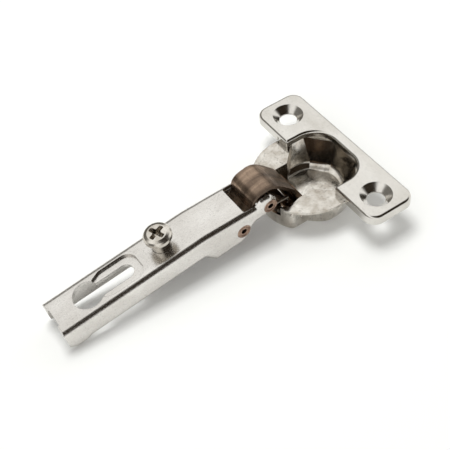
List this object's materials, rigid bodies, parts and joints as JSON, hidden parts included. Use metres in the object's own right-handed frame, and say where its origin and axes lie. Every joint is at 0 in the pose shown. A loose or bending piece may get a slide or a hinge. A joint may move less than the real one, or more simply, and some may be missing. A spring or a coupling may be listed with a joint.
{
  "type": "concealed cup hinge",
  "caption": "Concealed cup hinge for a cabinet door: a folded slide-on arm, two links and a pressed cup with a screw flange, shown open.",
  "frame": {"origin": "where the cup's axis meets the door face, in the plane of the flange's lower rim", "axes": "+Z out of the door, +X from the arm's tail towards the cup, +Y along the flange"},
  "size_m": [0.1094, 0.061, 0.0207],
  "materials": {
    "arm_nickel": "satin nickel plate on folded steel",
    "flange_nickel": "polished nickel plate on drawn steel",
    "cup_nickel": "nickel plate on die-cast zinc",
    "link_steel": "dark nickel plate with a bronze heat tint",
    "rivet_copper": "tumbled steel with a coppery tone",
    "pin_steel": "bright drawn steel",
    "spring_steel": "oiled spring steel",
    "screw_nickel": "bright nickel plate"
  },
  "bodies": {
    "arm": {"hinge_arm": "arm_nickel", "rear_arm_rivet": "rivet_copper", "front_arm_rivet": "rivet_copper", "closing_spring": "spring_steel"},
    "adjuster": {"adjusting_screw": "screw_nickel"},
    "outer_link_body": {"outer_link": "link_steel"},
    "inner_link_body": {"inner_link": "link_steel"},
    "cup": {"cup_pot": "cup_nickel", "flange_plate": "flange_nickel", "cup_pin": "pin_steel"}
  },
  "joints": [
    {"name": "outer_link_swing", "type": "hinge", "parent": "arm", "child": "outer_link_body", "pos_m": [-0.02886, 0, -0.0006], "axis": [0, -1, 0], "range_deg": [0, 23.6]},
    {"name": "cup_swing", "type": "hinge", "parent": "outer_link_body", "child": "cup", "pos_m": [-0.0088, 0, -0.0048], "axis": [0, -1, 0], "range_deg": [0, 74.2]},
    {"name": "inner_link_swing", "type": "hinge", "parent": "arm", "child": "inner_link_body", "pos_m": [-0.01875, 0, 0.0039], "axis": [0, -1, 0], "range_deg": [0, 15]},
    {"name": "adjusting_screw_travel", "type": "slide", "parent": "arm", "child": "adjuster", "axis": [-0.135, 0, 0.9908], "range_m": [-0.003, 0.0025]}
  ],
  "couplings": [
    {"joint": "outer_link_swing", "follows": "cup_swing", "ratio": 0.317},
    {"joint": "inner_link_swing", "follows": "cup_swing", "ratio": 0.2}
  ]
}
